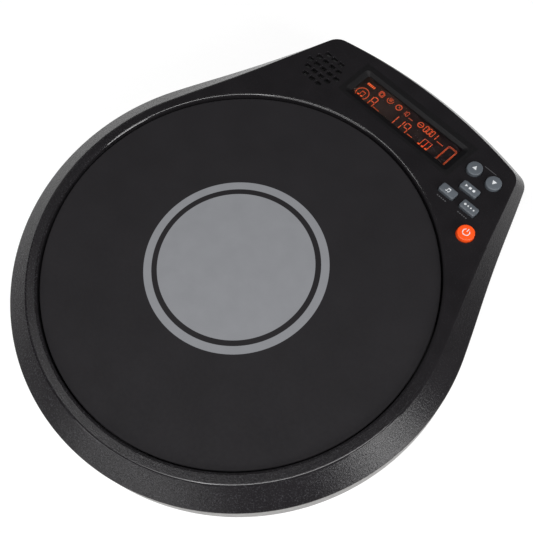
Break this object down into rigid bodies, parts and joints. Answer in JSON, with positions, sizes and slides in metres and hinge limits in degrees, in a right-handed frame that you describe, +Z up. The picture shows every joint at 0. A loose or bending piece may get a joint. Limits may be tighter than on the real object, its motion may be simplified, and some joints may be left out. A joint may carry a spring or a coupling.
{
  "type": "practice pad",
  "caption": "Round rubber practice pad in a teardrop plastic case whose narrow end is a control panel with a display, keys and a speaker grille.",
  "frame": {"origin": "middle of the case's bounding box at the height of the surface it stands on", "axes": "+Z up, +Y towards the control panel, +X to the right as the player faces the panel"},
  "size_m": [0.3014, 0.3396, 0.0407],
  "materials": {
    "case_black": "fine grained black ABS",
    "case_silver": "satin silver grey ABS",
    "pad_rubber": "matt black rubber with a printed grey target",
    "foot_rubber": "matt black rubber",
    "foam": "soft dark foam",
    "plate_steel": "plain sheet steel",
    "sensor_brass": "brass disc with a ceramic face",
    "display_window": "smoked clear acrylic",
    "display_panel": "dark display with lit orange segments",
    "display_backlight": "orange light guide",
    "circuit_board": "green circuit board",
    "key_orange": "lit orange key",
    "key_grey": "satin blue grey key with a white symbol",
    "switch_black": "black moulded switch",
    "speaker_paper": "black paper cone",
    "speaker_magnet": "dark ferrite",
    "socket_black": "black moulded socket",
    "cell_wrap": "printed metal sleeve",
    "contact_steel": "nickel plated spring steel",
    "screw_steel": "zinc plated steel",
    "lead_black": "black PVC insulation"
  },
  "bodies": {
    "root": {"battery_cell_1": "cell_wrap", "battery_cell_2": "cell_wrap", "battery_cell_3": "cell_wrap", "battery_cell_4": "cell_wrap", "battery_lead": "lead_black", "battery_spring_1": "contact_steel", "battery_spring_2": "contact_steel", "battery_spring_3": "contact_steel", "battery_spring_4": "contact_steel", "beat_switch": "switch_black", "board_screw_1": "screw_steel", "board_screw_2": "screw_steel", "board_screw_3": "screw_steel", "bottom_shell": "case_silver", "case_screw_1": "screw_steel", "case_screw_2": "screw_steel", "case_screw_3": "screw_steel", "case_screw_4": "screw_steel", "case_screw_5": "screw_steel", "case_screw_6": "screw_steel", "case_screw_7": "screw_steel", "contact_front_left": "contact_steel", "contact_front_middle": "contact_steel", "contact_front_right": "contact_steel", "contact_rear_left": "contact_steel", "contact_rear_right": "contact_steel", "display_backlight": "display_backlight", "display_panel": "display_panel", "display_window": "display_window", "down_switch": "switch_black", "foam_ring": "foam", "foot_front_left": "foot_rubber", "foot_front_right": "foot_rubber", "foot_rear_left": "foot_rubber", "foot_rear_right": "foot_rubber", "headphone_jack": "socket_black", "impact_sensor": "sensor_brass", "jack_board": "circuit_board", "main_board": "circuit_board", "mode_switch": "switch_black", "pad_plate": "plate_steel", "power_jack": "socket_black", "power_switch": "switch_black", "rubber_pad": "pad_rubber", "sensor_lead": "lead_black", "speaker_cone": "speaker_paper", "speaker_frame": "plate_steel", "speaker_lead": "lead_black", "speaker_magnet": "speaker_magnet", "tone_switch": "switch_black", "top_shell": "case_black", "up_switch": "switch_black"},
    "beat_button": {"beat_button": "key_grey"},
    "down_button": {"down_button": "key_grey"},
    "mode_button": {"mode_button": "key_grey"},
    "power_button": {"power_button": "key_orange"},
    "tone_button": {"tone_button": "key_grey"},
    "up_button": {"up_button": "key_grey"},
    "battery_door": {"battery_door": "case_silver"}
  },
  "joints": [
    {"name": "beat_press", "type": "slide", "parent": "root", "child": "beat_button", "axis": [0, 0, -1], "range_m": [0, 0.0008], "stiffness_N_per_m": 1500},
    {"name": "down_press", "type": "slide", "parent": "root", "child": "down_button", "axis": [0, 0, -1], "range_m": [0, 0.0008], "stiffness_N_per_m": 1500},
    {"name": "mode_press", "type": "slide", "parent": "root", "child": "mode_button", "axis": [0, 0, -1], "range_m": [0, 0.0008], "stiffness_N_per_m": 1500},
    {"name": "power_press", "type": "slide", "parent": "root", "child": "power_button", "axis": [0, 0, -1], "range_m": [0, 0.0008], "stiffness_N_per_m": 1500},
    {"name": "tone_press", "type": "slide", "parent": "root", "child": "tone_button", "axis": [0, 0, -1], "range_m": [0, 0.0008], "stiffness_N_per_m": 1500},
    {"name": "up_press", "type": "slide", "parent": "root", "child": "up_button", "axis": [0, 0, -1], "range_m": [0, 0.0008], "stiffness_N_per_m": 1500},
    {"name": "battery_door_hinge", "type": "hinge", "parent": "root", "child": "battery_door", "pos_m": [0, -0.06765, 0.0039], "axis": [-1, 0, 0], "range_deg": [0, 95]}
  ]
}
